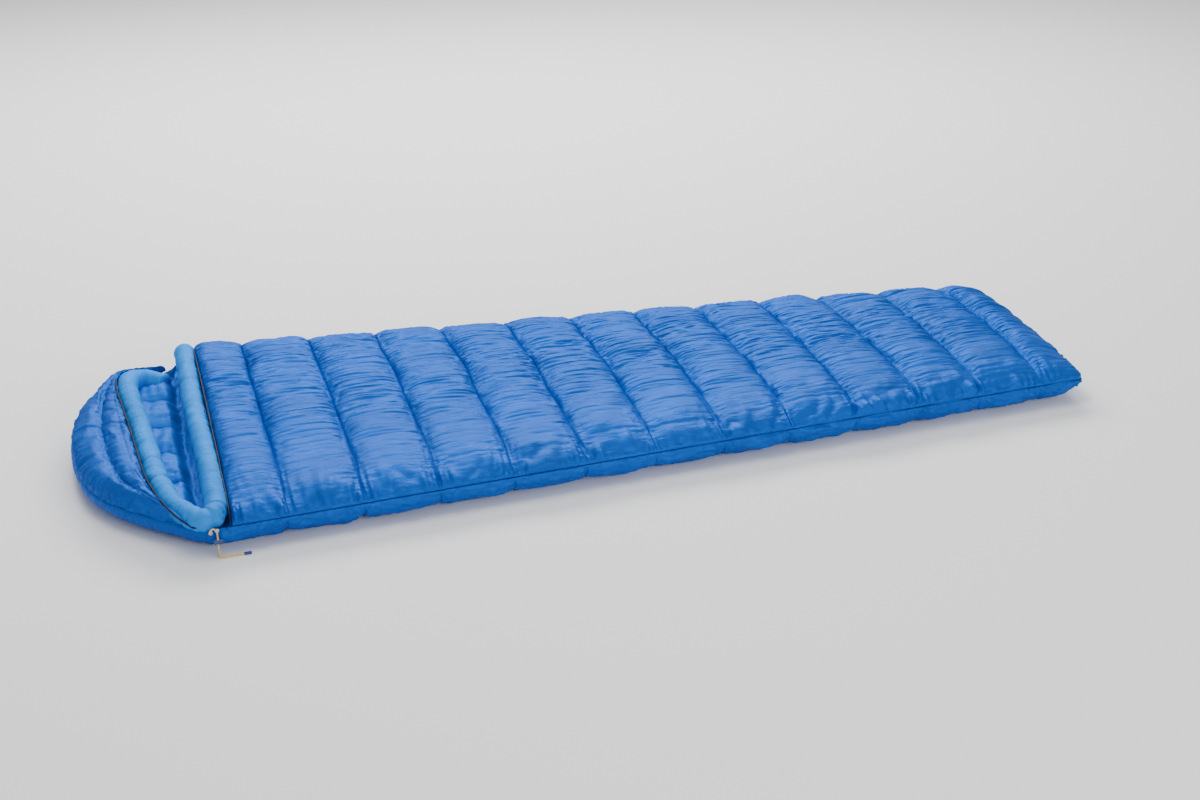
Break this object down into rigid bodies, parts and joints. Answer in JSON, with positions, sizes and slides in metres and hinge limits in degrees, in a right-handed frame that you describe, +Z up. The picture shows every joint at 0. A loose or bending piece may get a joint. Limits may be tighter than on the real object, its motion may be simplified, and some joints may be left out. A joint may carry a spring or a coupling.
{
  "type": "camp quilt",
  "caption": "Tapered rectangular down sleeping bag with crosswise channels, a hood, padded edge tubes and a drawcord, lying closed; its zip lets it open flat as a quilt.",
  "frame": {"origin": "bottom centre of the bag's box, without the drawcord's strands, lock and tab", "axes": "+X along the bag from the hood to the foot, +Y from the sewn near side to the zipped far side, +Z up"},
  "size_m": [2.0808, 0.8327, 0.0997],
  "materials": {
    "shell_fabric": "royal blue downproof nylon, glossy, finely puckered at each seam",
    "lining_fabric": "medium blue nylon lining, softer sheen",
    "down_fill": "white down in a sewn chamber",
    "tube_fabric": "light blue brushed nylon, padded",
    "piping": "near-black navy piping",
    "zip_tape": "dark blue woven zip tape",
    "zip_coil": "navy nylon coil",
    "metal": "grey painted metal",
    "cord": "yellow braided cord with a pale fleck",
    "plastic": "dark blue moulded plastic"
  },
  "bodies": {
    "bottom_quilt": {"bottom_shell": "shell_fabric", "bottom_lining": "lining_fabric", "bottom_chamber_01": "down_fill", "bottom_chamber_02": "down_fill", "bottom_chamber_03": "down_fill", "bottom_chamber_04": "down_fill", "bottom_chamber_05": "down_fill", "bottom_chamber_06": "down_fill", "bottom_chamber_07": "down_fill", "bottom_chamber_08": "down_fill", "bottom_chamber_09": "down_fill", "bottom_chamber_10": "down_fill", "bottom_chamber_11": "down_fill", "bottom_chamber_12": "down_fill", "bottom_chamber_13": "down_fill", "zip_tape_bottom": "zip_tape", "zip_coil_bottom": "zip_coil", "zip_retaining_box": "metal", "drawcord_strand_1": "cord", "drawcord_strand_2": "cord", "cord_end_tab": "plastic", "drawcord_eyelet_1": "metal", "drawcord_eyelet_2": "metal"},
    "top_quilt": {"top_shell": "shell_fabric", "top_lining": "lining_fabric", "top_chamber_01": "down_fill", "top_chamber_02": "down_fill", "top_chamber_03": "down_fill", "top_chamber_04": "down_fill", "top_chamber_05": "down_fill", "top_chamber_06": "down_fill", "top_chamber_07": "down_fill", "top_chamber_08": "down_fill", "top_chamber_09": "down_fill", "top_chamber_10": "down_fill", "top_chamber_11": "down_fill", "top_chamber_12": "down_fill", "top_chamber_13": "down_fill", "collar_tube": "tube_fabric", "collar_piping": "piping", "zip_tape_top": "zip_tape", "zip_coil_top": "zip_coil", "zip_insertion_pin": "metal", "draft_tube": "tube_fabric"},
    "hood": {"hood_floor_shell": "shell_fabric", "hood_floor_lining": "lining_fabric", "hood_floor_chamber": "down_fill", "hood_wall_shell": "shell_fabric", "hood_wall_lining": "lining_fabric", "hood_chamber_outer": "down_fill", "hood_chamber_inner": "down_fill", "hood_rim_tube": "tube_fabric", "hood_rim_piping": "piping"},
    "slider_head": {"zip_slider_head": "metal"},
    "pull_head": {"zip_pull_head": "metal"},
    "slider_foot": {"zip_slider_foot": "metal"},
    "pull_foot": {"zip_pull_foot": "metal"},
    "cord_lock": {"cord_lock_barrel": "plastic", "cord_lock_spring": "metal"},
    "lock_plunger": {"cord_lock_plunger": "plastic"}
  },
  "joints": [
    {"name": "top_open", "type": "hinge", "parent": "bottom_quilt", "child": "top_quilt", "pos_m": [0.0001, -0.33848, 0.05], "axis": [0.9966, 0.0823, 0], "range_deg": [0, 180]},
    {"name": "hood_lift", "type": "hinge", "parent": "bottom_quilt", "child": "hood", "pos_m": [-0.8214, 0.00547, 0.05], "axis": [0, 1, 0], "range_deg": [0, 45]},
    {"name": "slider_head_run", "type": "slide", "parent": "bottom_quilt", "child": "slider_head", "axis": [0.9966, -0.0823, 0], "range_m": [-0.1, 1.5]},
    {"name": "pull_head_flip", "type": "hinge", "parent": "slider_head", "child": "pull_head", "pos_m": [-0.65101, 0.40093, 0.05], "axis": [0, 0, -1], "range_deg": [0, 165]},
    {"name": "slider_foot_run", "type": "slide", "parent": "bottom_quilt", "child": "slider_foot", "axis": [0, 1, 0], "range_m": [-0.03, 0.28]},
    {"name": "pull_foot_flip", "type": "hinge", "parent": "slider_foot", "child": "pull_foot", "pos_m": [1.0383, -0.10453, 0.05], "axis": [0, 0, -1], "range_deg": [0, 165]},
    {"name": "lock_slide", "type": "slide", "parent": "bottom_quilt", "child": "cord_lock", "axis": [0, 0, 1], "range_m": [-0.004, 0.003]},
    {"name": "plunger_press", "type": "slide", "parent": "cord_lock", "child": "lock_plunger", "axis": [-1, 0, 0], "range_m": [0, 0.002], "stiffness_N_per_m": 300, "deforming": ["cord_lock_spring"]}
  ]
}
